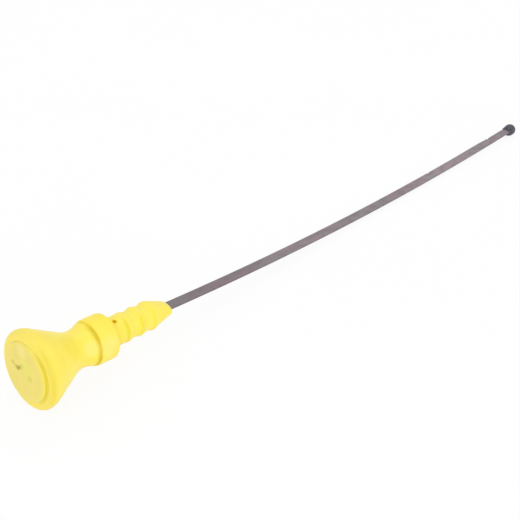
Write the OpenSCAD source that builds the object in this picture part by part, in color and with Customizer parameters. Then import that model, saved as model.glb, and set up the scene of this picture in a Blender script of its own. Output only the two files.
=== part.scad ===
// Engine oil dipstick, lying as it comes to rest.
// A yellow moulded handle holds a bowed steel blade, and a dark bead ends the blade.
// The rim of the knob and the bead at the tip touch the ground, which is z = 0.
// The blade runs towards +X and its flat faces look up and down.
// The origin is on the ground, under the middle of the whole dipstick.

/* [Knob] */
// Diameter of the knob over its rim
rim_d = 35; // [31:0.5:40]
// Rounding of the rim towards the face
rim_front_r = 2.2; // [1.2:0.1:2.8]
// Rounding of the rim towards the flank
rim_back_r = 6; // [4:0.5:9]
// Slope of the flank against the axis, in degrees
flank_deg = 27.2; // [24:0.2:32]
// Thickness of the hollow knob's wall
wall = 2.4; // [1.6:0.1:3]
// Depth of the hollow behind the knob's face
hollow_depth = 20; // [14:0.5:22]

/* [End cap] */
// Diameter of the cap's disc
cap_d = 28; // [24:0.5:29]
// Height that the disc stands proud of the rim
cap_proud = 0.8; // [0.3:0.1:1.5]
// Depth that the disc is let into the rim
cap_sunk = 1; // [0.6:0.1:2]
// Width of the shelf that carries the disc
cap_shelf = 1.5; // [1:0.1:2.5]
// Length of the cap's skirt behind its disc
skirt_len = 3.6; // [2.5:0.1:5]
// Thickness of the cap's skirt
skirt_t = 1.3; // [0.9:0.1:2]
// Height of the snap bead round the skirt
snap_h = 0.25; // [0.15:0.05:0.35]
// Clearance all round between the cap and the handle
cap_gap = 0.1; // [0.05:0.05:0.2]

/* [Waist and collar] */
// Diameter at the waist
waist_d = 16.8; // [14:0.2:18]
// Radius of the hollow curve at the waist
waist_r = 11.6; // [8:0.2:13]
// Width of the groove in front of the collar
groove_w = 0.9; // [0.5:0.1:1.5]
// Depth of the groove below the lip of the flare
groove_depth = 0.7; // [0.3:0.1:1]
// Diameter of the collar
collar_d = 20.8; // [20.2:0.2:24]
// Length of the collar
collar_len = 10.1; // [8:0.1:13]
// Rounding of the collar's edge at the groove
collar_front_r = 0.5; // [0.2:0.1:0.8]
// Rounding of the collar's edge at the stop shoulder
collar_back_r = 1.5; // [0.8:0.1:2]

/* [Sealing plug] */
// Diameter of the plug between its ribs
plug_d = 12.2; // [10.6:0.2:13]
// Length of the plain neck, from the shoulder to the first rib's crest
neck_len = 8.1; // [7:0.1:10]
// Number of sealing ribs
rib_count = 3; // [2:1:4]
// Distance from one rib to the next
rib_pitch = 7.35; // [6:0.05:9]
// Height of a rib above the plug
rib_h = 0.7; // [0.4:0.05:1]
// Length of the straight land on a rib's crest
rib_land = 0.7; // [0.4:0.1:1.2]
// Length of each of a rib's two slopes
rib_slope = 1.7; // [1.2:0.1:2.2]
// Length of the nose, from the last rib's crest to its end
nose_len = 12.8; // [10:0.2:15]
// Taper of the nose on one side, in degrees
nose_deg = 11; // [7:0.5:13]
// Rounding at the end of the nose
nose_r = 3; // [2:0.2:4]
// Diameter of the flat end where the blade comes out
nose_end_d = 5.9; // [5.6:0.1:6.4]
// Diameter of the holes where the mould held the blade
locator_d = 2; // [1.4:0.1:2.4]
// Distance of those holes from the stop shoulder
locator_from_shoulder = 3.6; // [2.4:0.1:4]
// Distance of those holes from the middle of the blade, to opposite sides
locator_aside = 1.4; // [0.4:0.1:1.5]

/* [Blade] */
// Width of the steel strip
blade_w = 5; // [4:0.1:5.2]
// Thickness of the steel strip
blade_t = 1; // [0.7:0.05:1.2]
// Length of the blade from the nose to the middle of the bead
blade_out = 278; // [200:1:340]
// Radius of the bow that lifts the tip
bow_r = 1890; // [1500:10:3500]
// Angle that the blade hangs below the axis of the handle, in degrees
droop_deg = 1.5; // [0:0.1:2.4]
// Length of the tang that is moulded into the handle
tang_len = 38; // [34:0.5:44]
// Diameter of the anchor hole in the tang
anchor_d = 2.6; // [1.6:0.1:3]
// Distance of the anchor hole from the tang's end
anchor_from_end = 4; // [3:0.2:6]

/* [Level marks] */
// Distance of the low mark from the middle of the bead
low_mark = 21; // [12:0.5:30]
// Distance between the low mark and the full mark
mark_spacing = 58; // [20:0.5:70]
// Depth of each notch in the edge of the blade
notch_depth = 0.9; // [0.4:0.1:1.2]
// Width of each notch at the edge of the blade
notch_w = 1.8; // [1:0.1:2.6]

/* [Tip bead] */
// Diameter of the bead
bead_d = 6.8; // [6.4:0.1:9]
// Length of the blade's end past the middle of the bead
grip_past = 1.5; // [0.5:0.1:1.8]

/* [Hidden] */
yellow = [0.97, 0.88, 0.36];
steel = [0.52, 0.49, 0.50];
charcoal = [0.20, 0.20, 0.23];
round_fn = 96;
bow_fn = 1440;
arc_steps = 8;
// Extra length of a cutting tool past the piece that it cuts.
over = 1;
nose_turns = 8;

// Radii that the pieces share.
rim_r = rim_d / 2;
cap_r = cap_d / 2;
shelf_r = cap_r - cap_shelf;
waist_low_r = waist_d / 2;
collar_r = collar_d / 2;
plug_r = plug_d / 2;
crest_r = plug_r + rib_h;
bead_r = bead_d / 2;

// Distances along the axis of the handle, from the rim's face.
// The flank is the straight line that touches the rim's rounding and the waist's curve.
flank_start = [rim_front_r + rim_back_r * sin(flank_deg),
               rim_r - rim_back_r * (1 - cos(flank_deg))];
flank_end_r = waist_low_r + waist_r * (1 - cos(flank_deg));
flank_end_x = flank_start[0] + (flank_start[1] - flank_end_r) / tan(flank_deg);
waist_x = flank_end_x + waist_r * sin(flank_deg);
flare_x = waist_x + waist_r * sin(flank_deg);
collar_x = flare_x + groove_w;
shoulder_x = collar_x + collar_len;
first_rib_x = shoulder_x + neck_len;
last_rib_x = first_rib_x + (rib_count - 1) * rib_pitch;
nose_x = last_rib_x + nose_len;
nose_foot_x = last_rib_x + rib_land / 2 + rib_slope;
locator_x = shoulder_x + locator_from_shoulder;

// The nose's rounding starts where its centre and radius put the end face at nose_x.
nose_end_r = nose_end_d / 2;
nose_turn_x = nose_round_x(nose_turns);
nose_turn_r = plug_r - (nose_turn_x - nose_foot_x) * tan(nose_deg);

// Where the rounding of the nose starts depends on the radius there, so it is worked out in turns.
function nose_round_x(turns) =
    turns == 0 ? nose_x - nose_r
    : nose_x - nose_sweep(plug_r - (nose_round_x(turns - 1) - nose_foot_x) * tan(nose_deg));
// Length of the nose's rounding when it starts at radius r.
function nose_sweep(r) =
    let (centre = r - nose_r * cos(nose_deg))
    nose_r * (sin(acos((nose_end_r - centre) / nose_r)) - sin(nose_deg));

// Shape of the blade's middle line, in the blade's frame:
// x runs out of the nose, z is up, and the line is one arc that is level where it leaves the nose.
bow_centre = [0, bow_r];
bead_at = blade_point(blade_out);

// Angle of the blade, and its point [x, z], at a length along the arc from the nose.
function blade_deg(s) = s / bow_r * 180 / PI;
function blade_point(s) = [bow_r * sin(blade_deg(s)), bow_r * (1 - cos(blade_deg(s)))];

// How the dipstick lies: the ground touches the rim's rounding and either the bead or the belly of the bow.
rim_round_at = turned([rim_front_r - nose_x, -(rim_r - rim_back_r)], droop_deg);
rest_on_bead = ground_deg(rim_round_at, rim_back_r, bead_at, bead_r);
rest_on_belly = ground_deg(rim_round_at, rim_back_r, bow_centre, bow_r + blade_t / 2);
belly_first = rest_on_belly > 0 && rest_on_belly < blade_deg(blade_out) && rest_on_belly < rest_on_bead;
rest_deg = belly_first ? rest_on_belly : rest_on_bead;
handle_tilt = rest_deg - droop_deg;
lift = rim_back_r - turned(rim_round_at, -rest_deg)[1];

// Ends of the whole dipstick along the ground, for the origin.
cap_edge_r = 0.35;
cap_corner = turned([cap_edge_r - cap_proud - nose_x, cap_edge_r - cap_r], droop_deg);
rim_corner = turned([rim_front_r - nose_x, rim_front_r - rim_r], droop_deg);
back_end = min(turned(cap_corner, -rest_deg)[0] - cap_edge_r, turned(rim_corner, -rest_deg)[0] - rim_front_r);
front_end = turned(bead_at, -rest_deg)[0] + bead_r;
middle = (back_end + front_end) / 2;

// Turns a point [x, z] about the origin by an angle, x towards z.
function turned(p, deg) = [p[0] * cos(deg) - p[1] * sin(deg), p[0] * sin(deg) + p[1] * cos(deg)];
// Angle of the line that touches two circles from below.
function ground_deg(a, ra, b, rb) =
    atan2(b[1] - a[1], b[0] - a[0]) + asin((ra - rb) / norm(b - a));
// Points of an arc round c, as [x, radius] pairs, from one angle to another.
function arc(c, r, from, to) =
    [for (i = [0:arc_steps]) let (t = from + (to - from) * i / arc_steps) c + r * [cos(t), sin(t)]];

// Puts the blade's frame on the ground.
module at_rest() {
    translate([-middle, 0, lift])
        rotate([0, rest_deg, 0])
            children();
}

// Puts the handle's frame, with its rim face at the origin, into the blade's frame.
module on_handle_axis() {
    rotate([0, -droop_deg, 0])
        translate([-nose_x, 0, 0])
            children();
}

// Revolves an outline of [x, radius] points about the x axis.
module revolve(points) {
    rotate([0, 90, 0])
        rotate_extrude($fn = round_fn)
            polygon([for (p = points) [p[1], p[0]]]);
}

// One rib as [x, radius] points: a slope up, a straight land and a slope down.
// Each slope starts and ends with a short gentle stretch, so that the rib looks round.
gentle_len = rib_slope / 4;
gentle_h = rib_h * 0.12;
function rib_points(x) =
    let (half = rib_land / 2, foot = half + rib_slope)
    [[x - foot, plug_r],
     [x - foot + gentle_len, plug_r + gentle_h],
     [x - half - gentle_len, crest_r - gentle_h],
     [x - half, crest_r],
     [x + half, crest_r],
     [x + half + gentle_len, crest_r - gentle_h],
     [x + foot - gentle_len, plug_r + gentle_h],
     [x + foot, plug_r]];

// Outer form of the handle, from the rim's face to the nose.
function handle_outline() = concat(
    [[0, 0]],
    arc([rim_front_r, rim_r - rim_front_r], rim_front_r, 180, 90),
    arc([rim_front_r, rim_r - rim_back_r], rim_back_r, 90, 90 - flank_deg),
    arc([waist_x, waist_low_r + waist_r], waist_r, 270 - flank_deg, 270 + flank_deg),
    [[flare_x, flank_end_r - groove_depth],
     [collar_x, flank_end_r - groove_depth]],
    arc([collar_x + collar_front_r, collar_r - collar_front_r], collar_front_r, 180, 90),
    arc([shoulder_x - collar_back_r, collar_r - collar_back_r], collar_back_r, 90, 0),
    [[shoulder_x, plug_r]],
    [for (i = [0:rib_count - 1]) each rib_points(first_rib_x + i * rib_pitch)],
    arc([nose_turn_x - nose_r * sin(nose_deg), nose_turn_r - nose_r * cos(nose_deg)],
        nose_r, 90 - nose_deg, asin((nose_end_r - nose_turn_r + nose_r * cos(nose_deg)) / nose_r)),
    [[nose_x, 0]]);

// The hollow of the knob: a recess for the disc, a bore for the skirt and a cone that follows the flank.
function outer_flank_r(x) = flank_start[1] - (x - flank_start[0]) * tan(flank_deg);
function inner_flank_r(x) = outer_flank_r(x) - wall / cos(flank_deg);
bore_end_x = flank_start[0] + (flank_start[1] - wall / cos(flank_deg) - shelf_r) / tan(flank_deg);
function hollow_outline() = [
    [-over, 0],
    [-over, cap_r + cap_gap],
    [cap_sunk, cap_r + cap_gap],
    [cap_sunk, shelf_r],
    [bore_end_x, shelf_r],
    [hollow_depth, inner_flank_r(hollow_depth)],
    [hollow_depth, 0]];

// The cap's snap bead, and the groove in the bore that it springs into.
snap_from_end = 1.2;
snap_half = 0.6;
snap_top_half = 0.2;
snap_root = 0.5;
snap_x = cap_sunk + skirt_len - snap_from_end;
function snap_ring(r, h, gap) = [
    [snap_x - snap_half - gap, r - snap_root],
    [snap_x - snap_half - gap, r],
    [snap_x - snap_top_half - gap, r + h],
    [snap_x + snap_top_half + gap, r + h],
    [snap_x + snap_half + gap, r],
    [snap_x + snap_half + gap, r - snap_root]];

// The whole strip in the blade's frame, turned about a level axis high above it.
module strip() {
    sweep = blade_deg(tang_len + blade_out + grip_past);
    rotate([90, 0, 0])
        translate([bow_centre[0], bow_centre[1], 0])
            rotate([0, 0, -90 - blade_deg(tang_len)])
                rotate_extrude(angle = sweep, $fn = bow_fn)
                    translate([bow_r - blade_t / 2, -blade_w / 2])
                        square([blade_t, blade_w]);
}

// Moves its children to a length along the blade, and turns them with it.
module along_blade(s) {
    p = blade_point(s);
    translate([p[0], 0, p[1]])
        rotate([0, -blade_deg(s), 0])
            children();
}

// The strip with the anchor hole, which the plastic of the handle fills.
module anchored_strip() {
    difference() {
        strip();
        along_blade(anchor_from_end - tang_len)
            translate([0, 0, -blade_t])
                cylinder(h = 2 * blade_t, d = anchor_d, $fn = round_fn);
    }
}

// The yellow moulding: knob, collar, ribbed plug and nose in one piece.
module handle() {
    color(yellow) at_rest() difference() {
        on_handle_axis() difference() {
            revolve(handle_outline());
            revolve(hollow_outline());
            revolve(snap_ring(shelf_r, snap_h + cap_gap, cap_gap));
        }
        anchored_strip();
        locator_holes();
    }
}

// Holes from above and below that bare the flat faces of the tang.
module locator_holes() {
    for (side = [0, 180])
        along_blade(locator_x - nose_x)
            rotate([side, 0, 0])
                translate([0, -locator_aside, 0])
                    cylinder(h = collar_r, d = locator_d, $fn = round_fn);
}

// The disc that closes the knob, with the skirt that snaps into the bore.
// The skirt's end is bevelled to lead it in.
lead_len = 0.5;
lead_in = 0.4;
module end_cap() {
    skirt_r = shelf_r - cap_gap;
    skirt_end = cap_sunk + skirt_len;
    color(yellow) at_rest() on_handle_axis() {
        difference() {
            revolve(concat(
                [[-cap_proud, 0]],
                arc([cap_edge_r - cap_proud, cap_r - cap_edge_r], cap_edge_r, 180, 90),
                [[cap_sunk, cap_r],
                 [cap_sunk, skirt_r],
                 [skirt_end - lead_len, skirt_r],
                 [skirt_end, skirt_r - lead_in],
                 [skirt_end, 0]]));
            translate([cap_sunk, 0, 0])
                rotate([0, 90, 0])
                    cylinder(h = skirt_len + over, r = skirt_r - skirt_t, $fn = round_fn);
        }
        revolve(snap_ring(skirt_r, snap_h, 0));
    }
}

// The steel strip, with its two level notches.
module blade() {
    color(steel) at_rest() difference() {
        anchored_strip();
        for (s = [blade_out - low_mark, blade_out - low_mark - mark_spacing])
            edge_notch(s);
    }
}

// A V cut into the far edge of the strip, at a length from the nose.
module edge_notch(s) {
    along_blade(s)
        translate([0, blade_w / 2, -blade_t])
            linear_extrude(height = 2 * blade_t)
                polygon([[-notch_w / 2, 0], [0, -notch_depth], [notch_w / 2, 0],
                         [notch_w / 2, over], [-notch_w / 2, over]]);
}

// The dark bead round the end of the strip, which keeps it from scraping the tube.
module tip_bead() {
    color(charcoal) at_rest() difference() {
        translate([bead_at[0], 0, bead_at[1]])
            sphere(d = bead_d, $fn = round_fn);
        strip();
    }
}

handle();
end_cap();
blade();
tip_bead();
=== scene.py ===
"""Engine oil dipstick, dressed for a studio picture.

A yellow moulded handle holds a long bowed steel strip, and a dark glossy bead ends the strip. The
dipstick lies on a plain white floor, on the rim of its knob and on its bead. Sizes are in
millimetres in the classes and turned into metres where a mesh is written.
"""

from __future__ import annotations

import logging
import math
from dataclasses import dataclass, field
from enum import Enum
from typing import Callable, Sequence

import bmesh
import bpy
from mathutils import Matrix, Vector


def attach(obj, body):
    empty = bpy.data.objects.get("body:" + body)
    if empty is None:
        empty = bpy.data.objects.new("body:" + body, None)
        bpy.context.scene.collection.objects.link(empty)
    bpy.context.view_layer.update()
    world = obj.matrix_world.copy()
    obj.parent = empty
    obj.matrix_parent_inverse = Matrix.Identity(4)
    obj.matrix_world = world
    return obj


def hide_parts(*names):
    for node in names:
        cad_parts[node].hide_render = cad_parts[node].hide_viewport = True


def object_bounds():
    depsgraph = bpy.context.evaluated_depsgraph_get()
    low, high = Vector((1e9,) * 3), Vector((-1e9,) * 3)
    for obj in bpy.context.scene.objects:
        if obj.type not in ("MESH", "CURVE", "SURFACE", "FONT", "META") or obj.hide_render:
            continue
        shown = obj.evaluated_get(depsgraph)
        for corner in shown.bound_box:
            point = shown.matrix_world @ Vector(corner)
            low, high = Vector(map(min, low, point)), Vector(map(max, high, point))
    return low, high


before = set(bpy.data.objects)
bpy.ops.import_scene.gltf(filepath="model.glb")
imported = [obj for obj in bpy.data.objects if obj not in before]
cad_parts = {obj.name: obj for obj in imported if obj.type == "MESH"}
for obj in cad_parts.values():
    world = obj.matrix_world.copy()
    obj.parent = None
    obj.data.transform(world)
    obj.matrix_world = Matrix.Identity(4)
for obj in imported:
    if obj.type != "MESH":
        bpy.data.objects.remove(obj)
CAD_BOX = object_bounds()

MM = 0.001
ROOT = "root"
ALL_ROUND = 230.0

Point2 = tuple[float, float]
Point3 = tuple[float, float, float]
Colour = Point3
Node = bpy.types.Node
Piece = bpy.types.Object
Socket = bpy.types.NodeSocket
Sockets = dict[str, bpy.types.NodeSocket]

log = logging.getLogger("dipstick")


def srgb(red: float, green: float, blue: float) -> Colour:
    """Turns a colour as a screen shows it, 0 to 255, into the linear numbers of a shader.

    Args:
        red: Red level.
        green: Green level.
        blue: Blue level.

    Returns:
        The three linear levels, 0 to 1.
    """

    def linear(level: float) -> float:
        """Linear value of one level."""
        share = level / 255
        return share / 12.92 if share <= 0.04045 else ((share + 0.055) / 1.055) ** 2.4

    return linear(red), linear(green), linear(blue)


def arc(centre: Point2, radius: float, start: float, end: float, steps: int) -> list[Point2]:
    """Points of an arc in a section.

    Args:
        centre: Middle of the arc.
        radius: Its radius.
        start: First angle, in degrees.
        end: Last angle, in degrees.
        steps: Number of chords.

    Returns:
        The points from the first angle to the last.
    """
    angles = [math.radians(start + (end - start) * i / steps) for i in range(steps + 1)]
    return [(centre[0] + radius * math.cos(a), centre[1] + radius * math.sin(a)) for a in angles]


def soften(
    points: Sequence[Point2], radius: float, sharp_deg: float = 22.0, steps: int = 5
) -> list[Point2]:
    """Rounds the sharp corners of a section, as a mould's edges are.

    Args:
        points: The section's corners in order.
        radius: Rounding wherever the lines beside a corner are long enough.
        sharp_deg: A corner that turns by less than this stays.
        steps: Number of chords in each rounding.

    Returns:
        The section with its roundings.
    """
    out: list[Point2] = [points[0]]
    for before, here, after in zip(points, points[1:], points[2:]):
        back, ahead = Vector(before) - Vector(here), Vector(after) - Vector(here)
        if back.length < 1e-6 or ahead.length < 1e-6:
            continue
        opening = back.angle(ahead)
        if math.pi - opening < math.radians(sharp_deg):
            out.append(here)
            continue
        reach = min(radius / math.tan(opening / 2), 0.45 * back.length, 0.45 * ahead.length)
        first, last = Vector(here) + back.normalized() * reach, Vector(here) + ahead.normalized() * reach
        for i in range(steps + 1):
            t = i / steps
            spot = first * (1 - t) ** 2 + Vector(here) * 2 * t * (1 - t) + last * t**2
            out.append((spot.x, spot.y))
    out.append(points[-1])
    return out


def refine(points: Sequence[Point2], longest: float) -> list[Point2]:
    """Splits the long lines of a section, so that its mesh has even faces.

    Args:
        points: The section.
        longest: Length that no line keeps above.

    Returns:
        The section with more points on the same lines.
    """
    out: list[Point2] = [points[0]]
    for a, b in zip(points, points[1:]):
        across, up = b[0] - a[0], b[1] - a[1]
        parts = max(1, math.ceil(math.dist(a, b) / longest))
        out += [(a[0] + across * i / parts, a[1] + up * i / parts) for i in range(1, parts + 1)]
    return out


def eased(share: float) -> float:
    """Soft step from 0 to 1, level at both ends, for a share that is first kept between them."""
    share = max(0.0, min(1.0, share))
    return share * share * (3 - 2 * share)


@dataclass(frozen=True)
class Sizes:
    """The picture's sizes in millimetres and degrees, in places closer to the photo than the solids'."""

    rim_d: float = 35.0
    rim_front_r: float = 2.2
    rim_back_r: float = 6.5
    flank_deg: float = 27.6
    cap_d: float = 26.8
    cap_proud: float = 1.5
    cap_sunk: float = 1.0
    cap_shelf: float = 1.5
    cap_gap: float = -0.02
    cap_foot: float = 0.6
    cap_edge_r: float = 1.1
    waist_d: float = 16.9
    waist_r: float = 11.8
    groove_w: float = 1.3
    groove_depth: float = 0.7
    collar_d: float = 20.8
    collar_len: float = 9.8
    collar_front_r: float = 0.9
    collar_back_r: float = 1.5
    neck_d: float = 13.2
    neck_len: float = 9.1
    plug_d: float = 12.2
    rib_count: int = 3
    rib_pitch: float = 7.0
    rib_h: float = 0.65
    rib_land: float = 0.6
    rib_rise: float = 2.2
    rib_fall: float = 1.9
    nose_len: float = 12.394
    nose_deg: float = 9.8
    nose_round: float = 2.54
    nose_end_d: float = 5.2
    nose_short: float = 0.6
    locator_d: float = 1.9
    locator_from_shoulder: float = 3.1
    locator_aside: float = 1.1
    blade_w: float = 5.0
    blade_t: float = 1.0
    blade_out: float = 278.0
    bow_r: float = 1803.0
    droop_deg: float = 1.5
    tang_len: float = 38.0
    low_mark: float = 21.0
    mark_spacing: float = 58.0
    notch_depth: float = 0.9
    notch_w: float = 1.8
    tip_narrower: float = 0.45
    bead_d: float = 6.8
    bead_drop: float = 1.0
    grip_past: float = -1.2

    @property
    def rim_r(self) -> float:
        """Radius of the knob's rim."""
        return self.rim_d / 2

    @property
    def neck_r(self) -> float:
        """Radius of the neck before the first rib."""
        return self.neck_d / 2

    @property
    def plug_r(self) -> float:
        """Radius of the plug between its ribs."""
        return self.plug_d / 2

    @property
    def crest_r(self) -> float:
        """Radius of the ribs' crests."""
        return self.plug_r + self.rib_h

    @property
    def bead_r(self) -> float:
        """Radius of the bead."""
        return self.bead_d / 2

    @property
    def flank_start(self) -> Point2:
        """Point where the rim's rounding meets the flank."""
        turn = math.radians(self.flank_deg)
        return (
            self.rim_front_r + self.rim_back_r * math.sin(turn),
            self.rim_r - self.rim_back_r * (1 - math.cos(turn)),
        )

    @property
    def lip_r(self) -> float:
        """Radius of the flare's lip, beside the groove."""
        return self.waist_d / 2 + self.waist_r * (1 - math.cos(math.radians(self.flank_deg)))

    @property
    def waist_x(self) -> float:
        """Distance of the waist from the rim's face."""
        turn = math.radians(self.flank_deg)
        x, r = self.flank_start
        return x + (r - self.lip_r) / math.tan(turn) + self.waist_r * math.sin(turn)

    @property
    def flare_x(self) -> float:
        """Distance of the flare's lip."""
        return self.waist_x + self.waist_r * math.sin(math.radians(self.flank_deg))

    @property
    def collar_x(self) -> float:
        """Distance of the collar's front."""
        return self.flare_x + self.groove_w

    @property
    def shoulder_x(self) -> float:
        """Distance of the stop shoulder."""
        return self.collar_x + self.collar_len

    @property
    def rib_places(self) -> list[float]:
        """Distances of the ribs' crests."""
        first = self.shoulder_x + self.neck_len
        return [first + i * self.rib_pitch for i in range(self.rib_count)]

    @property
    def nose_x(self) -> float:
        """Distance of the nose's end."""
        return self.rib_places[-1] + self.nose_len

    def blade_turn(self, along: float) -> float:
        """Angle of the strip at a length from the nose, in radians."""
        return along / self.bow_r

    def blade_point(self, along: float) -> Vector:
        """Point of the strip's middle line at a length from the nose, in the strip's own frame."""
        turn = self.blade_turn(along)
        return Vector((self.bow_r * math.sin(turn), 0, self.bow_r * (1 - math.cos(turn))))

    def blade_up(self, along: float) -> Vector:
        """Direction out of the strip's upper side at a length from the nose."""
        turn = self.blade_turn(along)
        return Vector((-math.sin(turn), 0, math.cos(turn)))

    @property
    def marks(self) -> Point2:
        """Lengths of the two level marks from the nose."""
        low = self.blade_out - self.low_mark
        return low, low - self.mark_spacing

    @property
    def bead_centre(self) -> Vector:
        """Middle of the bead in the strip's frame, a little below the strip's end."""
        return self.blade_point(self.blade_out) - self.blade_up(self.blade_out) * self.bead_drop


@dataclass(frozen=True)
class Lie:
    """How the dipstick lies on the ground, on its rim and its bead.

    The far end of the solids, in millimetres, gives its place along the ground.
    """

    sizes: Sizes
    far_end: float

    @staticmethod
    def turned(point: Point2, degrees: float) -> Point2:
        """Turns a point of the side view about the origin."""
        a = math.radians(degrees)
        return (
            point[0] * math.cos(a) - point[1] * math.sin(a),
            point[0] * math.sin(a) + point[1] * math.cos(a),
        )

    def resting(self) -> tuple[float, float, float]:
        """Works out the turn and the two shifts that put the rim and the bead on the ground.

        Returns:
            The turn in degrees, the shift back along the ground and the lift, in millimetres.
        """
        s = self.sizes
        rim = self.turned((s.rim_front_r - s.nose_x, s.rim_back_r - s.rim_r), s.droop_deg)
        bead = s.bead_centre
        across, up = bead.x - rim[0], bead.z - rim[1]
        slant = math.asin((s.rim_back_r - s.bead_r) / math.hypot(across, up))
        turn = math.degrees(math.atan2(up, across) + slant)
        lift = s.rim_back_r - self.turned(rim, -turn)[1]
        front = self.turned((bead.x, bead.z), -turn)[0] + s.bead_r
        return turn, front - self.far_end, lift

    def strip_frame(self) -> Matrix:
        """Matrix from the strip's frame to the ground's, in millimetres."""
        turn, shift, lift = self.resting()
        return Matrix.Translation((-shift, 0, lift)) @ Matrix.Rotation(math.radians(turn), 4, "Y")

    def handle_frame(self) -> Matrix:
        """Matrix from the handle's frame, with the rim's face at its origin, to the ground's."""
        s = self.sizes
        droop = Matrix.Rotation(-math.radians(s.droop_deg), 4, "Y")
        return self.strip_frame() @ droop @ Matrix.Translation((-s.nose_x, 0, 0))


class MeshMaker:
    """Makes pieces in metres from points in millimetres."""

    @staticmethod
    def revolved(
        name: str,
        section: Sequence[Point2],
        around: int,
        place: Matrix,
        form: Callable[[Vector], Vector] = Vector,
    ) -> Piece:
        """Turns a section about the handle's axis.

        Args:
            name: Name of the new object.
            section: Points of distance along the axis and radius, from one end to the other.
            around: Number of steps in a turn.
            place: Matrix to the ground's frame, in millimetres.
            form: Change of each point before it is placed, where the piece isn't quite round.

        Returns:
            The new object, linked to the scene.
        """
        rings: list[list[Vector]] = []
        for x, r in section:
            count = 1 if r < 1e-6 else around
            turns = [2 * math.pi * i / count for i in range(count)]
            rings.append([form(Vector((x, r * math.sin(a), r * math.cos(a)))) for a in turns])
        return MeshMaker.lofted(name, rings, place)

    @staticmethod
    def lofted(
        name: str, rings: Sequence[Sequence[Vector]], place: Matrix, sharp_deg: float = 40.0
    ) -> Piece:
        """Joins rings of points into one closed piece.

        Args:
            name: Name of the new object.
            rings: Rings from one end to the other, of the same number of points or of one point.
            place: Matrix to the ground's frame, in millimetres.
            sharp_deg: Edges that turn by more than this stay sharp.

        Returns:
            The new object, linked to the scene.
        """
        mesh = bmesh.new()
        loops = [[mesh.verts.new(place @ spot * MM) for spot in ring] for ring in rings]
        around = max(len(loop) for loop in loops)
        for low, high in zip(loops, loops[1:]):
            for i in range(around):
                j = (i + 1) % around
                corners = [low[i % len(low)], low[j % len(low)], high[j % len(high)], high[i % len(high)]]
                unique = list(dict.fromkeys(corners))
                if len(unique) > 2:
                    mesh.faces.new(unique)
        for end in (loops[0], loops[-1]):
            if len(end) > 1:
                mesh.faces.new(end)
        return MeshMaker.finished(name, mesh, sharp_deg)

    @staticmethod
    def finished(name: str, mesh: bmesh.types.BMesh, sharp_deg: float = 40.0) -> Piece:
        """Turns a bmesh into an object with outward normals and smooth shading.

        Args:
            name: Name of the new object.
            mesh: The bmesh, which is freed.
            sharp_deg: Edges that turn by more than this stay sharp.

        Returns:
            The new object, linked to the scene.
        """
        bmesh.ops.recalc_face_normals(mesh, faces=mesh.faces)
        data = bpy.data.meshes.new(name)
        mesh.to_mesh(data)
        mesh.free()
        MeshMaker.smoothed(data, sharp_deg)
        made = bpy.data.objects.new(name, data)
        bpy.context.scene.collection.objects.link(made)
        return made

    @staticmethod
    def smoothed(data: bpy.types.Mesh, sharp_deg: float) -> None:
        """Shades a mesh smoothly, apart from the edges that turn by more than an angle."""
        data.shade_smooth()
        data.set_sharp_from_angle(angle=math.radians(sharp_deg))

    @staticmethod
    def combined(piece: Piece, tools: Sequence[Piece], how: str, sharp_deg: float = 40.0) -> None:
        """Cuts tools out of a piece or joins them to it, and removes the tools.

        Args:
            piece: The piece that is changed.
            tools: Closed meshes, such as drills.
            how: Name of the Boolean operation.
            sharp_deg: Edges that turn by more than this are sharp afterwards.
        """
        for tool in tools:
            cut = piece.modifiers.new("cut", "BOOLEAN")
            cut.object = tool
            cut.operation = how
            cut.solver = "EXACT"
        view = bpy.context.evaluated_depsgraph_get()
        result = bpy.data.meshes.new_from_object(piece.evaluated_get(view))
        piece.modifiers.clear()
        old, piece.data = piece.data, result
        bpy.data.meshes.remove(old)
        result.name = piece.name
        MeshMaker.smoothed(result, sharp_deg)
        for tool in tools:
            bpy.data.objects.remove(tool)


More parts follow.
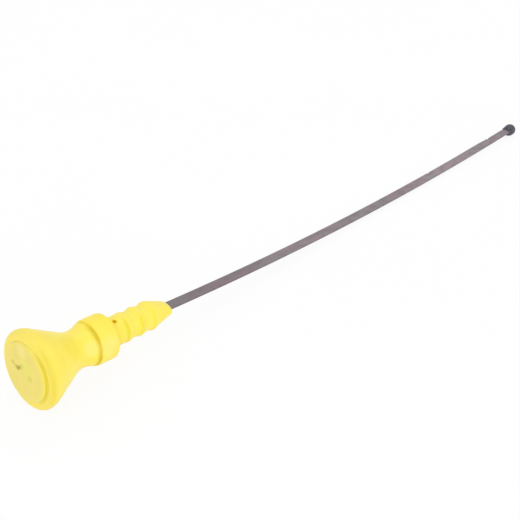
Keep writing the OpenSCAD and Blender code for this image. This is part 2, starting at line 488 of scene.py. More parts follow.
class Shader:
    """A node tree under construction, with short ways to add and join nodes."""

    def __init__(self, tree: bpy.types.NodeTree) -> None:
        """Starts from an empty tree."""
        self.tree = tree
        self.tree.nodes.clear()

    def add(self, kind: str, **settings: object) -> Node:
        """Adds a node and sets its own settings."""
        node = self.tree.nodes.new(kind)
        for name, value in settings.items():
            setattr(node, name, value)
        return node

    def join(self, source: Socket, target: Socket) -> None:
        """Links an output to an input."""
        self.tree.links.new(source, target)

    def feed(self, target: Socket, value: object) -> None:
        """Sets an input to a number or a colour, or links it to an output."""
        if isinstance(value, Socket):
            self.join(value, target)
        elif isinstance(value, tuple) and len(value) == 3 and target.type == "RGBA":
            target.default_value = (*value, 1.0)
        else:
            target.default_value = value

    def fill(self, node: Node, **values: object) -> Node:
        """Sets or links a node's inputs by name, with a low line for a space, and returns the node."""
        for name, value in values.items():
            self.feed(node.inputs[name.replace("_", " ")], value)
        return node

    def times(self, first: object, second: object) -> Socket:
        """Multiplies two values."""
        return self.maths("MULTIPLY", first, second)

    def maths(self, operation: str, first: object, second: object = 0.0) -> Socket:
        """Adds a Math node and returns its output."""
        node = self.add("ShaderNodeMath", operation=operation)
        self.feed(node.inputs[0], first)
        self.feed(node.inputs[1], second)
        return node.outputs[0]

    def hypot(self, first: Socket, second: Socket) -> Socket:
        """Adds the nodes for the long side of a right angle."""
        squares = [self.times(side, side) for side in (first, second)]
        return self.maths("SQRT", self.maths("ADD", *squares))

    def span(
        self, value: object, low: float, high: float, to_low: float = 0.0, to_high: float = 1.0
    ) -> Socket:
        """Maps a value from one span to another with soft ends."""
        node = self.add("ShaderNodeMapRange", interpolation_type="SMOOTHSTEP")
        for socket, number in zip(node.inputs[:5], (value, low, high, to_low, to_high)):
            self.feed(socket, number)
        return node.outputs[0]

    def blend(self, share: object, first: object, second: object) -> Socket:
        """Mixes two colours by a share."""
        node = self.add("ShaderNodeMix", data_type="RGBA", clamp_factor=True)
        self.feed(node.inputs[0], share)
        self.feed(node.inputs[6], first)
        self.feed(node.inputs[7], second)
        return node.outputs[2]

    def noise(self, place: object, scale: object, detail: float = 2.0, rough: float = 0.5) -> Socket:
        """Adds a noise at a place and returns its value."""
        node = self.add("ShaderNodeTexNoise", noise_dimensions="3D")
        return self.fill(node, Vector=place, Scale=scale, Detail=detail, Roughness=rough).outputs["Fac"]

    def seen(self) -> Socket:
        """Tells the camera's rays and those in reflections (1) from rays that only spread light (0)."""
        ray = self.add("ShaderNodeLightPath")
        through = self.maths("MAXIMUM", ray.outputs["Is Glossy Ray"], ray.outputs["Is Transmission Ray"])
        return self.maths("MAXIMUM", ray.outputs["Is Camera Ray"], through)

    def mapped(
        self, place: object, factors: Point3 = (1, 1, 1), turn: Point3 = (0, 0, 0), shift: Point3 = (0, 0, 0)
    ) -> Socket:
        """Stretches a place, for marks that run one way, and turns and shifts it."""
        node = self.add("ShaderNodeMapping", vector_type="POINT")
        self.fill(node, Vector=place, Location=shift, Rotation=turn, Scale=factors)
        return node.outputs[0]

    def group(self, made: "EffectGroup", **values: object) -> Node:
        """Places an effect's node group and feeds its inputs by name."""
        return self.fill(self.add("ShaderNodeGroup", node_tree=made.tree), **values)


class Kind(Enum):
    """Kinds of sockets that an effect's group has."""

    NUMBER = "NodeSocketFloat"
    COLOUR = "NodeSocketColor"
    VECTOR = "NodeSocketVector"


class EffectGroup:
    """A shader node group for an effect that several finishes use."""

    name: str = "effect"
    takes: dict[Kind, tuple[str, ...]] = {}
    gives: dict[Kind, tuple[str, ...]] = {}

    def __init__(self) -> None:
        """Makes the group with its named sockets and its inside."""
        self.tree = bpy.data.node_groups.new(self.name, "ShaderNodeTree")
        for side, table in (("INPUT", self.takes), ("OUTPUT", self.gives)):
            for kind, labels in table.items():
                for label in labels:
                    self.tree.interface.new_socket(name=label, in_out=side, socket_type=kind.value)
        kit = Shader(self.tree)
        source, target = kit.add("NodeGroupInput"), kit.add("NodeGroupOutput")
        results = self.inside(kit, {s.name: s for s in source.outputs if s.name})
        for label, socket in results.items():
            kit.join(socket, target.inputs[label])

    def inside(self, kit: Shader, given: Sockets) -> Sockets:
        """Builds the nodes inside the group.

        Args:
            kit: Builder of the group's tree.
            given: The group's inputs by name.

        Returns:
            What goes to each of the group's outputs.
        """
        raise NotImplementedError


class Mottle(EffectGroup):
    """Soft cloudy change of colour over a surface."""

    name = "mottle"
    takes = {Kind.VECTOR: ("Place",), Kind.NUMBER: ("Scale", "Amount"), Kind.COLOUR: ("Main", "Cloud")}
    gives = {Kind.COLOUR: ("Colour",)}

    def inside(self, kit: Shader, given: Sockets) -> Sockets:
        """Mixes the cloud's colour in where a soft noise is high."""
        soft = kit.noise(given["Place"], given["Scale"], detail=3.0, rough=0.55)
        share = kit.times(kit.span(soft, 0.38, 0.66), given["Amount"])
        return {"Colour": kit.blend(share, given["Main"], given["Cloud"])}


class Grain(EffectGroup):
    """Fine uneven height, such as a mould's skin or rolled metal."""

    name = "grain"
    takes = {Kind.VECTOR: ("Place",), Kind.NUMBER: ("Scale", "Depth")}
    gives = {Kind.NUMBER: ("Height", "Fine")}

    def inside(self, kit: Shader, given: Sockets) -> Sockets:
        """Adds a fine and a coarse noise."""
        fine = kit.noise(given["Place"], given["Scale"], detail=4.0, rough=0.6)
        coarse_scale = kit.times(given["Scale"], 0.08)
        coarse = kit.noise(given["Place"], coarse_scale, detail=1.0)
        both = kit.maths("ADD", kit.times(fine, 0.35), coarse)
        return {"Height": kit.times(both, given["Depth"]), "Fine": fine}


class ScuffAndShadingSpot(EffectGroup):
    """A small ragged mark round a spot, such as a scuff, a grain of dirt, a patch of painted shade or a
    painted highlight.
    """

    name = "scuff_and_shading_spot"
    takes = {Kind.VECTOR: ("Place", "Spot"), Kind.NUMBER: ("Reach", "Ragged")}
    gives = {Kind.NUMBER: ("Mask",)}

    def inside(self, kit: Shader, given: Sockets) -> Sockets:
        """Fades with the distance from the spot, with a ragged edge."""
        apart = kit.add("ShaderNodeVectorMath", operation="DISTANCE")
        kit.join(given["Place"], apart.inputs[0])
        kit.join(given["Spot"], apart.inputs[1])
        far = kit.maths("DIVIDE", apart.outputs["Value"], given["Reach"])
        wobble = kit.maths("SUBTRACT", kit.noise(given["Place"], 1600.0, detail=3.0, rough=0.65), 0.5)
        edge = kit.maths("ADD", far, kit.times(wobble, given["Ragged"]))
        return {"Mask": kit.span(edge, 1.0, 0.35)}


class Crease(EffectGroup):
    """A soft band round the handle's axis, between two angles from its top, which masks painted shade and
    painted light.
    """

    name = "crease"
    takes = {Kind.VECTOR: ("Place",), Kind.NUMBER: ("Along", "Radius", "Reach", "First", "Last")}
    gives = {Kind.NUMBER: ("Mask",)}
    fade = 0.3

    def inside(self, kit: Shader, given: Sockets) -> Sockets:
        """Fades with the distance from a ring, and beyond the two angles."""
        parts = kit.add("ShaderNodeSeparateXYZ")
        kit.join(given["Place"], parts.inputs[0])
        x, y, z = parts.outputs
        off_x = kit.maths("SUBTRACT", x, given["Along"])
        off_r = kit.maths("SUBTRACT", kit.hypot(y, z), given["Radius"])
        band = kit.span(kit.maths("DIVIDE", kit.hypot(off_x, off_r), given["Reach"]), 1.0, 0.15)
        turn = kit.maths("ARCTAN2", kit.times(y, -1.0), z)
        begins = kit.span(kit.maths("SUBTRACT", turn, given["First"]), -self.fade, self.fade)
        ends = kit.span(kit.maths("SUBTRACT", given["Last"], turn), -self.fade, self.fade)
        return {"Mask": kit.times(band, kit.times(begins, ends))}


@dataclass
class Effects:
    """The groups that the finishes share."""

    mottle: Mottle = field(default_factory=Mottle)
    grain: Grain = field(default_factory=Grain)
    scuff_and_shading_spot: ScuffAndShadingSpot = field(default_factory=ScuffAndShadingSpot)
    crease: Crease = field(default_factory=Crease)


@dataclass(frozen=True)
class Spot:
    """A small mark, a patch of painted shade or a painted highlight. Its place is in the handle's frame, in
    millimetres.
    """

    place: Point3
    reach: float
    ragged: float
    depth: float
    tone: Colour


@dataclass(frozen=True)
class PaintedShadingRing:
    """A soft band of painted shade or painted light in a crease, at a distance along the axis and a radius,
    in millimetres.
    """

    along: float
    radius: float
    reach: float
    first_deg: float
    last_deg: float
    depth: float
    tone: Colour


@dataclass(frozen=True)
class Clouds:
    """How large and how strong the soft clouds in a colour are."""

    scale: float
    amount: float


@dataclass(frozen=True)
class Skin:
    """Fine grain of a surface: its height in metres, and how far it changes the roughness."""

    scale: float
    depth: float
    strength: float
    smoother: float
    rougher: float


@dataclass(frozen=True)
class Finish:
    """Base of the finishes: a named material with one Principled shader."""

    name: str
    effects: Effects
    rough: float
    main: Colour
    cloud: Colour
    clouds: Clouds
    skin: Skin | None = None

    def build(self) -> bpy.types.Material:
        """Makes the material.

        Returns:
            The new material.
        """
        made = bpy.data.materials.new(self.name)
        made.use_nodes = True
        kit = Shader(made.node_tree)
        out, body = kit.add("ShaderNodeOutputMaterial"), kit.add("ShaderNodeBsdfPrincipled")
        kit.join(body.outputs[0], out.inputs["Surface"])
        self.dress(kit, body, kit.add("ShaderNodeTexCoord").outputs["Object"])
        return made

    def dress(self, kit: Shader, body: Node, place: Socket) -> None:
        """Gives the shader its colour and its surface.

        Args:
            kit: Builder of the material's tree.
            body: The Principled shader.
            place: Place on the object, in the ground's frame and in metres.
        """
        kit.fill(body, Base_Color=self.colour(kit, place))
        self.grained(kit, body, place)

    def colour(self, kit: Shader, place: Socket) -> Socket:
        """The main colour with its clouds."""
        return self.clouded(kit, place, self.clouds, self.main, self.cloud)

    def clouded(self, kit: Shader, place: Socket, clouds: Clouds, main: object, cloud: object) -> Socket:
        """Mixes soft clouds of one colour into another."""
        made = kit.group(self.effects.mottle, Place=place, Main=main, Cloud=cloud)
        return kit.fill(made, Scale=clouds.scale, Amount=clouds.amount).outputs["Colour"]

    def grained(self, kit: Shader, body: Node, place: Socket) -> Socket:
        """Gives the surface its grain, as roughness and as height, and returns the fine noise."""
        grain = kit.group(self.effects.grain, Place=place, Scale=self.skin.scale, Depth=self.skin.depth)
        fine = grain.outputs["Fine"]
        low, high = self.rough - self.skin.smoother, self.rough + self.skin.rougher
        bump = kit.add("ShaderNodeBump")
        kit.fill(bump, Strength=self.skin.strength, Distance=1.0, Height=grain.outputs["Height"])
        kit.fill(body, Roughness=kit.span(fine, 0.3, 0.7, low, high), Normal=bump.outputs["Normal"])
        return fine


@dataclass(frozen=True)
class MouldedYellow(Finish):
    """Opaque yellow plastic with a soft sheen, with painted shade in its creases, painted highlights and
    marks.
    """

    rough: float = 0.38
    clouds: Clouds = Clouds(75.0, 0.75)
    skin: Skin = Skin(2600.0, 0.000012, 0.6, 0.05, 0.06)
    main: Colour = srgb(252, 232, 88)
    cloud: Colour = srgb(249, 226, 70)
    drift: Clouds | None = Clouds(420.0, 0.18)
    glow: float = 0.12
    glow_reach: Point3 = (1.0, 0.75, 0.2)
    glow_scale: float = 0.0015
    axis: Matrix = field(default_factory=Matrix)
    # The spots hold marks and patches of painted shade and painted highlights; the rings hold painted shade
    # and painted light in creases.
    spots: tuple[Spot, ...] = ()
    rings: tuple[PaintedShadingRing, ...] = ()

    def colour(self, kit: Shader, place: Socket) -> Socket:
        """Cloudy yellow with a finer drift, and over it painted shade and painted light in the creases, and
        marks and painted highlights.

        Args:
            kit: Builder of the material's tree.
            place: Place on the object, in the ground's frame and in metres.

        Returns:
            The base colour.
        """
        shade = super().colour(kit, place)
        if self.drift:
            shade = self.clouded(kit, place, self.drift, shade, self.cloud)
        back = self.axis.inverted()
        near = kit.mapped(place, turn=tuple(back.to_euler()), shift=tuple(back.translation * MM))
        # Bands of painted shade and painted light round the axis.
        for ring in self.rings:
            band = kit.group(self.effects.crease, Place=near, Reach=ring.reach * MM)
            kit.fill(band, Along=ring.along * MM, Radius=ring.radius * MM)
            kit.fill(band, First=math.radians(ring.first_deg), Last=math.radians(ring.last_deg))
            shade = kit.blend(kit.times(band.outputs["Mask"], ring.depth), shade, ring.tone)
        # Marks, and patches of painted shade and painted highlights.
        for spot in self.spots:
            where = tuple(x * MM for x in spot.place)
            mark = kit.group(self.effects.scuff_and_shading_spot, Place=near, Spot=where)
            kit.fill(mark, Reach=spot.reach * MM, Ragged=spot.ragged)
            shade = kit.blend(kit.times(mark.outputs["Mask"], spot.depth), shade, spot.tone)
        return shade

    def dress(self, kit: Shader, body: Node, place: Socket) -> None:
        """Adds a little light that spreads inside the plastic."""
        super().dress(kit, body, place)
        reach, scale = self.glow_reach, self.glow_scale
        kit.fill(body, Subsurface_Weight=self.glow, Subsurface_Radius=reach, Subsurface_Scale=scale)


# The knob's disc: duller plastic, which carries scuffs and dirt, painted shade and a painted highlight
# through its spots and rings.
@dataclass(frozen=True)
class DullerDiscYellow(MouldedYellow):
    """The same plastic on the knob's disc, duller."""

    clouds: Clouds = Clouds(120.0, 0.8)
    main: Colour = srgb(236, 217, 106)
    cloud: Colour = srgb(231, 214, 96)
    drift: Clouds | None = None


@dataclass(frozen=True)
class SpringSteel(Finish):
    """Dull spring steel with faint stains and with rolling lines along the strip.

    It is lighter towards the tip. The spans are distances along the ground in metres: the first and
    the second one where it turns lighter, and the one near the tip where some of that is lost.
    """

    rough: float = 0.42
    clouds: Clouds = Clouds(62.0, 1.0)
    skin: Skin = Skin(5200.0, 0.000006, 0.5, 0.08, 0.1)
    main: Colour = srgb(132, 117, 122)
    cloud: Colour = srgb(126, 119, 120)
    far_main: Colour = srgb(154, 140, 146)
    far_cloud: Colour = srgb(146, 142, 143)
    stain: Colour = srgb(112, 99, 106)
    line: Colour = srgb(150, 140, 144)
    stains: Clouds = Clouds(210.0, 0.4)
    stain_shift: float = 0.31
    lighter: tuple[Point2, Point2] = ((-0.066, -0.02), (0.067, 0.108))
    tip_span: Point2 = (0.132, 0.15)
    tip_share: float = 0.4
    cloud_form: Point3 = (1.0, 2.2, 2.2)
    stain_form: Point3 = (1.0, 1.6, 1.6)
    line_form: Point3 = (0.02, 1.0, 1.0)
    line_depth: float = 0.22

    def dress(self, kit: Shader, body: Node, place: Socket) -> None:
        """Adds the change of colour along the strip, the stains and the lines, and makes it metal."""
        parts = kit.add("ShaderNodeSeparateXYZ")
        kit.join(place, parts.inputs[0])
        x = parts.outputs[0]
        first, second = (kit.times(kit.span(x, *edges), 0.5) for edges in self.lighter)
        tip = kit.span(x, *self.tip_span, 1.0, self.tip_share)
        outward = kit.maths("ADD", first, kit.times(second, tip))
        main = kit.blend(outward, self.main, self.far_main)
        cloud = kit.blend(outward, self.cloud, self.far_cloud)
        tint = self.clouded(kit, kit.mapped(place, self.cloud_form), self.clouds, main, cloud)
        spots = kit.mapped(place, self.stain_form, shift=(self.stain_shift, 0, 0))
        stained = self.clouded(kit, spots, self.stains, tint, self.stain)
        fine = self.grained(kit, body, kit.mapped(place, self.line_form))
        streak = kit.span(fine, 0.25, 0.75, 0.0, self.line_depth)
        kit.fill(body, Base_Color=kit.blend(streak, stained, self.line), Metallic=1.0)


@dataclass(frozen=True)
class GlossyCharcoal(Finish):
    """Dark glossy plastic of the bead."""

    rough: float = 0.3
    clouds: Clouds = Clouds(520.0, 0.7)
    skin: Skin = Skin(3400.0, 0.000012, 0.5, 0.05, 0.08)
    main: Colour = srgb(56, 54, 65)
    cloud: Colour = srgb(88, 86, 99)


@dataclass(frozen=True)
class WhiteSweep(Finish):
    """Plain pale floor, which keeps the shadow and looks white to the camera."""

    rough: float = 0.9
    clouds: Clouds = Clouds(9.0, 1.0)
    main: Colour = (0.92, 0.92, 0.92)
    cloud: Colour = (0.9, 0.9, 0.9)
    lift: float = 0.91

    def dress(self, kit: Shader, body: Node, place: Socket) -> None:
        """Leaves the floor without grain, and lifts it to white where it is seen."""
        kit.fill(body, Base_Color=self.colour(kit, place), Roughness=self.rough, Specular_IOR_Level=0.0)
        light = kit.fill(kit.add("ShaderNodeEmission"), Color=(1, 1, 1), Strength=1.0)
        both = kit.add("ShaderNodeMixShader")
        out = next(n for n in kit.tree.nodes if n.type == "OUTPUT_MATERIAL")
        kit.join(kit.times(kit.seen(), self.lift), both.inputs[0])
        kit.join(body.outputs[0], both.inputs[1])
        kit.join(light.outputs[0], both.inputs[2])
        kit.join(both.outputs[0], out.inputs["Surface"])


@dataclass
class SubAssembly:
    """Base of the dipstick's pieces."""

    sizes: Sizes
    lie: Lie
    material: bpy.types.Material

    def dress(self, piece: Piece, node: str, slot: str) -> Piece:
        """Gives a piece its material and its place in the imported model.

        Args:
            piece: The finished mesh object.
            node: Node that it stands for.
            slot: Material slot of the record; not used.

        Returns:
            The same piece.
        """
        piece.data.materials.clear()
        piece.data.materials.append(self.material)
        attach(piece, ROOT)
        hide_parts(node)
        return piece


@dataclass
class Handle(SubAssembly):
    """The yellow moulding: rim, flank, waist, collar, ribbed plug and nose."""

    around: int = 224
    edge_r: float = 0.3
    longest: float = 0.9
    recess: float = 2.0
    rib_steps: int = 9
    nose_tries: int = 12
    hole_foot: float = 0.2
    mouth_depth: float = 0.5
    mouth_len: float = 0.6
    mouth_wider: float = 0.16
    drill_past: float = 3.0
    flat_top: float = 0.5
    flat_under: float = 0.6
    flat_sides: float = -0.057

    def slope(self, start_x: float, length: float, start_r: float, end_r: float) -> list[Point2]:
        """Section of one side of a rib, with gentle ends.

        Args:
            start_x: Distance where it starts.
            length: Its length along the axis.
            start_r: Radius where it starts.
            end_r: Radius where it ends.

        Returns:
            Its points, with the first and the last.
        """
        shares = [i / self.rib_steps for i in range(self.rib_steps + 1)]
        return [(start_x + length * t, start_r + (end_r - start_r) * t * t * (3 - 2 * t)) for t in shares]

    def rib(self, crest_x: float, start_r: float) -> list[Point2]:
        """Section of one rib, a smooth wave with a short land.

        Args:
            crest_x: Distance of its crest.
            start_r: Radius of the plug before it.

        Returns:
            Its points.
        """
        s = self.sizes
        half = s.rib_land / 2
        up = self.slope(crest_x - half - s.rib_rise, s.rib_rise, start_r, s.crest_r)
        return up + self.slope(crest_x + half, s.rib_fall, s.crest_r, s.plug_r)

    @property
    def nose_foot(self) -> float:
        """Distance at which the nose starts, behind the last rib."""
        s = self.sizes
        return s.rib_places[-1] + s.rib_land / 2 + s.rib_fall

    def nose(self) -> list[Point2]:
        """Section of the tapered nose and its rounding."""
        s = self.sizes
        taper = math.radians(s.nose_deg)
        end_x, end_r, turn = s.nose_x - s.nose_short, s.nose_end_d / 2, s.nose_round
        start = end_x - turn
        for _ in range(self.nose_tries):
            centre = s.plug_r - (start - self.nose_foot) * math.tan(taper) - turn * math.cos(taper)
            last = math.acos(max(-1.0, min(1.0, (end_r - centre) / turn)))
            start = end_x - turn * (math.sin(last) - math.sin(taper))
        turn_r = s.plug_r - (start - self.nose_foot) * math.tan(taper)
        middle = (start - turn * math.sin(taper), turn_r - turn * math.cos(taper))
        last = math.degrees(math.asin((end_r - middle[1]) / turn))
        return arc(middle, turn, 90 - s.nose_deg, last, 12) + [(end_x, 0.0)]

    def flattened(self, spot: Vector) -> Vector:
        """Moves a point of the nose, which is flatter towards the strip than a round one.

        Args:
            spot: Point in the handle's frame, in millimetres.

        Returns:
            The point on the flattened nose, or the same point before the nose.
        """
        ease = eased((spot.x - self.nose_foot) / (self.sizes.nose_x - self.nose_foot))
        pull = self.flat_top if spot.z > 0 else self.flat_under
        return Vector((spot.x, spot.y * (1 - self.flat_sides * ease), spot.z * (1 - pull * ease)))

    def section(self) -> list[Point2]:
        """The whole section, from the bottom of the disc's recess to the nose's end."""
        s = self.sizes
        recess_r, shelf_r = s.cap_d / 2 + s.cap_gap, s.cap_d / 2 - s.cap_shelf
        floor, collar_r, groove_r = s.cap_sunk + self.recess, s.collar_d / 2, s.lip_r - s.groove_depth
        front, back = s.collar_front_r, s.collar_back_r
        points: list[Point2] = [(floor, 0.0), (floor, shelf_r)]
        points += [(s.cap_sunk, shelf_r), (s.cap_sunk, recess_r)]
        points += arc((-s.cap_foot, recess_r + s.cap_foot), s.cap_foot, 292, 360, 5)
        points += arc((s.rim_front_r, s.rim_r - s.rim_front_r), s.rim_front_r, 180, 90, 14)
        points += arc((s.rim_front_r, s.rim_r - s.rim_back_r), s.rim_back_r, 90, 90 - s.flank_deg, 14)[1:]
        waist = (s.waist_x, s.waist_d / 2 + s.waist_r)
        points += arc(waist, s.waist_r, 270 - s.flank_deg, 270 + s.flank_deg, 40)
        points += [(s.flare_x, groove_r), (s.collar_x, groove_r)]
        points += arc((s.collar_x + front, collar_r - front), front, 180, 90, 6)
        points += arc((s.shoulder_x - back, collar_r - back), back, 90, 0, 10)
        points += [(s.shoulder_x, s.neck_r)]
        for crest in s.rib_places:
            points += self.rib(crest, s.neck_r if crest == s.rib_places[0] else s.plug_r)
        points += self.nose()
        return refine(soften(points, self.edge_r), self.longest)

    def drill(self, name: str, side_deg: float) -> Piece:
        """Closed tool for one locator hole, with a slightly eased mouth."""
        s = self.sizes
        along = s.shoulder_x + s.locator_from_shoulder - s.nose_x
        spot = self.lie.strip_frame() @ Matrix.Translation(s.blade_point(along))
        spot = spot @ Matrix.Rotation(-s.blade_turn(along), 4, "Y")
        spot = spot @ Matrix.Rotation(math.radians(side_deg), 4, "X")
        spot = spot @ Matrix.Translation((0, -s.locator_aside, 0)) @ Matrix.Rotation(-math.pi / 2, 4, "Y")
        r, wider = s.locator_d / 2, s.locator_d / 2 + self.mouth_wider
        mouth = s.neck_r - self.mouth_depth
        end = mouth + self.drill_past
        section = [(self.hole_foot, 0.0), (self.hole_foot, r), (mouth, r)]
        section += [(mouth + self.mouth_len, wider), (end, wider), (end, 0.0)]
        return MeshMaker.revolved(name, section, 48, spot)

    def build(self) -> Piece:
        """Makes the handle."""
        place = self.lie.handle_frame()
        piece = MeshMaker.revolved("handle_moulding", self.section(), self.around, place, self.flattened)
        drills = [self.drill("drill_above", 0.0), self.drill("drill_below", 180.0)]
        MeshMaker.combined(piece, drills, "DIFFERENCE")
        return self.dress(piece, "handle", "yellow_plastic")


@dataclass
class EndCap(SubAssembly):
    """The disc that closes the knob and stands slightly proud of its rim."""

    around: int = 224
    rings: int = 14

    def section(self) -> list[Point2]:
        """Section of the disc from its middle to its back."""
        s = self.sizes
        r = s.cap_d / 2
        flat = [(-s.cap_proud, (r - s.cap_edge_r) * i / self.rings) for i in range(self.rings)]
        edge = arc((s.cap_edge_r - s.cap_proud, r - s.cap_edge_r), s.cap_edge_r, 180, 90, 6)
        return flat + edge + [(s.cap_sunk, r), (s.cap_sunk, 0.0)]

    def build(self) -> Piece:
        """Makes the disc."""
        piece = MeshMaker.revolved("knob_disc", self.section(), self.around, self.lie.handle_frame())
        return self.dress(piece, "end_cap", "yellow_cap")


@dataclass
class Blade(SubAssembly):
    """The bowed steel strip, from its tang to its end inside the bead."""

    step: float = 2.0
    edge_r: float = 0.16
    narrow_before: float = 11.0
    narrow_over: float = 12.0
    notch_rings: tuple[float, ...] = (-0.75, -0.5, -0.25, -0.04, 0.04, 0.25, 0.5, 0.75)

    def near_notch(self, along: float) -> float:
        """How far the notched edge lies inside the strip's full width at a length from the nose."""
        s = self.sizes
        narrow = s.tip_narrower * eased((along - (s.marks[0] - self.narrow_before)) / self.narrow_over)
        deepest = narrow
        for mark in s.marks:
            deepest = max(deepest, narrow + s.notch_depth * (1 - abs(along - mark) / (s.notch_w / 2)))
        return deepest

    def stations(self) -> list[float]:
        """Lengths at which the strip gets a ring, closer together at the notches."""
        s = self.sizes
        first, last = -s.tang_len, s.blade_out + s.grip_past
        count = math.ceil((last - first) / self.step)
        places = {round(first + (last - first) * i / count, 4) for i in range(count + 1)}
        for mark in s.marks:
            places |= {round(mark + s.notch_w * k, 4) for k in self.notch_rings}
        return sorted(places)

    def ring(self, along: float) -> list[Vector]:
        """Points round the strip at a length, with eased edges."""
        s = self.sizes
        far, near = s.blade_w / 2 - self.near_notch(along), -s.blade_w / 2
        half_t, r = s.blade_t / 2, self.edge_r
        corners = [(far, half_t, 0), (near, half_t, 90), (near, -half_t, 180), (far, -half_t, 270)]
        flat: list[Point2] = []
        for y, z, start in corners:
            middle = (y - math.copysign(r, y if start in (0, 270) else -1), z - math.copysign(r, z))
            flat += arc(middle, r, start, start + 90, 3)
        centre, up = s.blade_point(along), s.blade_up(along)
        return [centre + Vector((0, y, 0)) + up * z for y, z in flat]

    def build(self) -> Piece:
        """Makes the strip."""
        rings = [self.ring(along) for along in self.stations()]
        piece = MeshMaker.lofted("steel_strip", rings, self.lie.strip_frame(), 38.0)
        return self.dress(piece, "blade", "blade_steel")


@dataclass
class TipBead(SubAssembly):
    """The glossy bead moulded round the end of the strip, longer on the strip's side."""

    around: int = 96
    steps: int = 24
    back_reach: float = 4.4
    fullness: float = 2.5
    sleeve_len: float = 4.9
    sleeve_skin: float = 0.3
    sleeve_edge: float = 0.2
    sleeve_slope: float = 0.4
    sleeve_inside: float = 1.0

    def sleeve(self) -> Piece:
        """The skin of the bead's plastic that runs a little way onto the strip."""
        s = self.sizes
        near, far = -s.blade_w / 2 - self.sleeve_skin, s.blade_w / 2 - s.tip_narrower + self.sleeve_skin
        up = s.blade_t / 2 + self.sleeve_skin
        full = -self.sleeve_len + self.sleeve_slope
        rings = []
        for back, less in ((-self.sleeve_len, self.sleeve_edge), (full, 0.0), (-self.sleeve_inside, 0.0)):
            y, z = (near + less, far - less), (-up + less, up - less)
            middle, tall = s.blade_point(s.blade_out + back), s.blade_up(s.blade_out + back)
            corners = ((y[0], z[0]), (y[1], z[0]), (y[1], z[1]), (y[0], z[1]))
            rings.append([middle + Vector((0, side, 0)) + tall * high for side, high in corners])
        return MeshMaker.lofted("bead_sleeve", rings, self.lie.strip_frame())

    def build(self) -> Piece:
        """Makes the bead."""
        s = self.sizes
        turn = Matrix.Rotation(-s.blade_turn(s.blade_out), 4, "Y")
        place = self.lie.strip_frame() @ Matrix.Translation(s.bead_centre) @ turn
        section: list[Point2] = []
        for i in range(self.steps + 1):
            a = math.pi / 2 * i / self.steps
            far, wide = math.cos(a) ** (2 / self.fullness), math.sin(a) ** (2 / self.fullness)
            section.append((-self.back_reach * far, s.bead_r * wide))
        section += arc((0, 0), s.bead_r, 90, 0, self.steps)[1:]
        section[0], section[-1] = (-self.back_reach, 0.0), (s.bead_r, 0.0)
        piece = MeshMaker.revolved("glossy_bead", section, self.around, place)
        MeshMaker.combined(piece, [self.sleeve()], "UNION")
        return self.dress(piece, "tip_bead", "bead_plastic")


@dataclass(frozen=True)
class Softbox:
    """A square soft lamp: where it hangs and what it points at in metres, its side and its watts."""

    name: str
    place: Point3
    aim: Point3
    size: float
    power: float

    def build(self) -> None:
        """Hangs the lamp."""
        light = bpy.data.lights.new(self.name, "AREA")
        light.shape = "SQUARE"
        light.size = self.size
        light.energy = self.power
        lamp = bpy.data.objects.new(self.name, light)
        lamp.location = self.place
        lamp.rotation_euler = (Vector(self.aim) - Vector(self.place)).to_track_quat("-Z", "Y").to_euler()
        bpy.context.scene.collection.objects.link(lamp)


@dataclass
class Studio:
    """Floor, soft light and camera."""

    floor_material: bpy.types.Material
    floor_half: float = 3.0
    floor_cells: int = 24
    lamps: tuple[Softbox, ...] = (
        Softbox("key", (0.5, 0.35, 1.1), (0, 0, 0), 0.9, 1.2),
        Softbox("front", (-0.75, -0.75, 0.35), (-0.06, 0, 0.02), 0.4, 2.0),
    )
    camera_mm: Point3 = (-368.275, -288.336, 326.557)
    camera_deg: Point3 = (56.619, -3.944, -45.633)
    focal_px: float = 1114.1
    axis_px: Point2 = (260.0, 205.0)
    frame_px: float = 520.0
    sensor: float = 36.0
    sky: float = 0.94

    def floor(self) -> Piece:
        """A wide plane at the ground."""
        mesh = bmesh.new()
        cells = self.floor_cells
        bmesh.ops.create_grid(mesh, x_segments=cells, y_segments=cells, size=self.floor_half)
        piece = MeshMaker.finished("studio_floor", mesh)
        piece.data.materials.append(self.floor_material)
        return piece

    def surround(self) -> None:
        """A plain pale room, white to the camera and in reflections."""
        world = bpy.data.worlds.new("studio_room")
        bpy.context.scene.world = world
        world.use_nodes = True
        kit = Shader(world.node_tree)
        out, light = kit.add("ShaderNodeOutputWorld"), kit.add("ShaderNodeBackground")
        kit.fill(light, Color=(1, 1, 1), Strength=kit.span(kit.seen(), 0.0, 1.0, self.sky, 1.0))
        kit.join(light.outputs[0], out.inputs["Surface"])

    def camera(self) -> None:
        """The camera at the photograph's place and angle."""
        lens = bpy.data.cameras.new("photo_camera")
        lens.sensor_fit = "HORIZONTAL"
        lens.sensor_width = self.sensor
        lens.lens = self.focal_px * self.sensor / self.frame_px
        lens.shift_x = (self.frame_px / 2 - self.axis_px[0]) / self.frame_px
        lens.shift_y = (self.axis_px[1] - self.frame_px / 2) / self.frame_px
        lens.clip_start = 0.01
        camera = bpy.data.objects.new("photo_camera", lens)
        camera.location = Vector(self.camera_mm) * MM
        camera.rotation_euler = [math.radians(a) for a in self.camera_deg]
        bpy.context.scene.collection.objects.link(camera)
        bpy.context.scene.camera = camera

    def build(self) -> None:
        """Sets the whole studio up."""
        self.floor()
        self.surround()
        for lamp in self.lamps:
            lamp.build()
        self.camera()
        bpy.context.scene.view_settings.view_transform = "Standard"


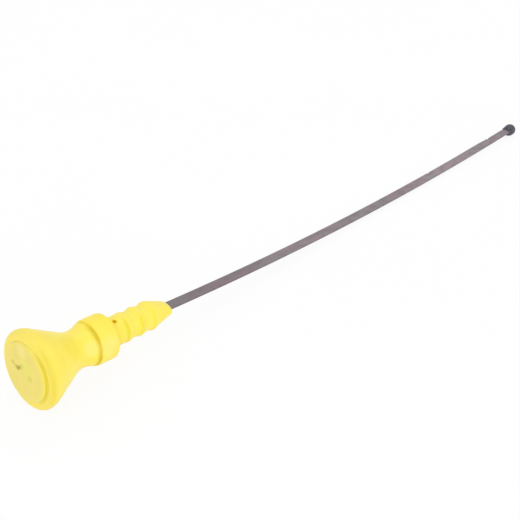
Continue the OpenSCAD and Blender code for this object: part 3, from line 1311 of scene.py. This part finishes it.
def handle_spots(sizes: Sizes) -> tuple[Spot, ...]:
    """Painted tints of the moulding: painted shade in and round the visible locator hole, painted deeper
    shade on the flank and two painted highlights.
    """
    side = sizes.locator_aside
    x, z = sizes.shoulder_x + sizes.locator_from_shoulder, math.sqrt(sizes.neck_r**2 - side**2)
    return (
        # Painted shade round the mouth of the locator hole.
        Spot((x - 0.4, -side, z), 2.4, 0.4, 0.7, srgb(246, 212, 28)),
        # Painted deep, saturated shade inside the locator hole.
        Spot((x, -side, z - 1.2), 2.2, 0.2, 1.0, srgb(255, 220, 0)),
        # Painted deeper shade on the flank near the waist.
        Spot((17.1, -6.4, 8.4), 8.0, 0.15, 0.45, srgb(244, 221, 44)),
        # Painted highlights on the flare and on the collar.
        Spot((26.3, -8.0, 3.7), 5.0, 0.15, 0.5, srgb(247, 233, 140)),
        Spot((34.6, -10.0, 2.7), 6.5, 0.15, 0.5, srgb(247, 233, 138)),
    )


def handle_rings(sizes: Sizes) -> tuple[PaintedShadingRing, ...]:
    """Painted shade in the handle's creases and round its rim, strongest on the side turned from the light,
    with painted light on the disc's step at the top and painted shade on the collar's top.
    """
    groove_x, groove_r = sizes.flare_x + sizes.groove_w / 2 - 0.2, sizes.lip_r - sizes.groove_depth + 0.3
    step_x, step_r = -0.1, sizes.cap_d / 2 + 0.3
    collar_x, neck_x, first_rib_x, second_rib_x = 35.6, 47.9, 55.9, 62.9
    return (
        # Painted shade in the groove.
        PaintedShadingRing(groove_x, groove_r, 2.0, 0, 150, 0.85, srgb(222, 203, 36)),
        # Painted shade round the rim's rounding, deeper on the side turned from the light.
        PaintedShadingRing(0.8, 16.4, 3.4, -ALL_ROUND, ALL_ROUND, 0.55, srgb(238, 218, 96)),
        PaintedShadingRing(0.8, 16.6, 2.8, 40, 140, 0.5, srgb(238, 215, 84)),
        PaintedShadingRing(0.7, 16.9, 1.6, 28, 112, 0.62, srgb(226, 208, 44)),
        # Painted light over the disc's step at the top, and painted shade in it on the side turned from the
        # light.
        PaintedShadingRing(step_x, step_r, 1.0, -ALL_ROUND, 30, 0.5, srgb(250, 234, 112)),
        PaintedShadingRing(step_x, step_r, 1.3, 30, 135, 0.8, srgb(222, 204, 40)),
        # Painted shade in the creases of the neck and the ribs.
        PaintedShadingRing(neck_x, sizes.neck_r, 1.6, 15, 120, 0.85, srgb(234, 216, 44)),
        PaintedShadingRing(first_rib_x, sizes.crest_r, 1.5, 30, 120, 0.8, srgb(236, 219, 46)),
        PaintedShadingRing(second_rib_x, sizes.crest_r, 1.3, 30, 120, 0.6, srgb(238, 221, 50)),
        # Painted shade on the collar's top and far side, which takes back some of its sheen.
        PaintedShadingRing(collar_x, sizes.collar_d / 2, 7.0, -80, 22, 0.5, srgb(252, 230, 52)),
    )


def disc_rings(sizes: Sizes) -> tuple[PaintedShadingRing, ...]:
    """Painted shade along the disc's edge, which blends into the rim except on the side turned from the
    light, and painted light at its foot towards the top.
    """
    step_x, step_r = -0.2, sizes.cap_d / 2
    return (
        # Painted shade along the disc's rounded edge.
        PaintedShadingRing(-sizes.cap_proud, step_r, 3.4, -ALL_ROUND, ALL_ROUND, 0.4, srgb(242, 223, 96)),
        # Painted light over the disc's foot at the top, and painted shade there on the side turned from the
        # light.
        PaintedShadingRing(step_x, step_r, 1.0, -ALL_ROUND, 30, 0.5, srgb(250, 234, 112)),
        PaintedShadingRing(step_x, step_r, 1.5, 30, 135, 0.85, srgb(228, 210, 40)),
    )


def disc_spots(sizes: Sizes) -> tuple[Spot, ...]:
    """Small scuffs and dirt on the knob's disc, a greener patch and a painted highlight near its top.

    Each line of the table gives the place across and up in millimetres, the reach, the
    raggedness, the depth and the tone.
    """
    dirt, dark, green, painted_highlight = srgb(206, 184, 36), srgb(172, 150, 0), srgb(226, 225, 84), srgb(246, 230, 150)
    marks = [
        (7.6, 1.2, 1.35, 0.9, 0.7, dirt),
        (4.3, 0.2, 1.5, 0.8, 1.0, dark),
        (2.9, 1.2, 1.3, 0.9, 0.85, dark),
        (5.7, 0.3, 1.6, 1.1, 0.6, dirt),
        (1.5, 2.6, 1.5, 1.2, 0.5, dirt),
        (-1.9, 2.2, 5.4, 0.3, 0.5, green),
        (-4.0, -0.6, 1.9, 0.7, 0.6, srgb(206, 198, 56)),
        # Painted highlight: a broad sheen near the top of the disc.
        (2.4, 9.6, 4.5, 0.3, 0.35, painted_highlight),
    ]
    return tuple(Spot((-sizes.cap_proud, y, z), *rest) for y, z, *rest in marks)


def main() -> None:
    """Builds the dipstick's pieces and the studio."""
    logging.basicConfig(level=logging.INFO, format="%(name)s: %(message)s")
    sizes = Sizes()
    lie = Lie(sizes, float(CAD_BOX[1][0]) / MM)
    effects = Effects()
    axis = lie.handle_frame()
    # The handle's spots and rings are painted shade and painted highlights.
    yellow = MouldedYellow(
        "yellow_plastic", effects, axis=axis, spots=handle_spots(sizes), rings=handle_rings(sizes)
    ).build()
    # The disc's rings and its highlight spot are painted shade and painted light; its other spots are scuffs
    # and dirt.
    disc_finish = DullerDiscYellow(
        "disc_yellow_dirt_and_painted_shade", effects, axis=axis, spots=disc_spots(sizes), rings=disc_rings(sizes)
    ).build()
    steel = SpringSteel("spring_steel", effects).build()
    charcoal = GlossyCharcoal("glossy_charcoal", effects).build()
    pieces = [
        Handle(sizes, lie, yellow).build(),
        EndCap(sizes, lie, disc_finish).build(),
        Blade(sizes, lie, steel).build(),
        TipBead(sizes, lie, charcoal).build(),
    ]
    for piece in pieces:
        log.info("%s: %d faces", piece.name, len(piece.data.polygons))
    Studio(WhiteSweep("white_floor", effects).build()).build()
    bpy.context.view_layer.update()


if __name__ == "__main__":
    main()
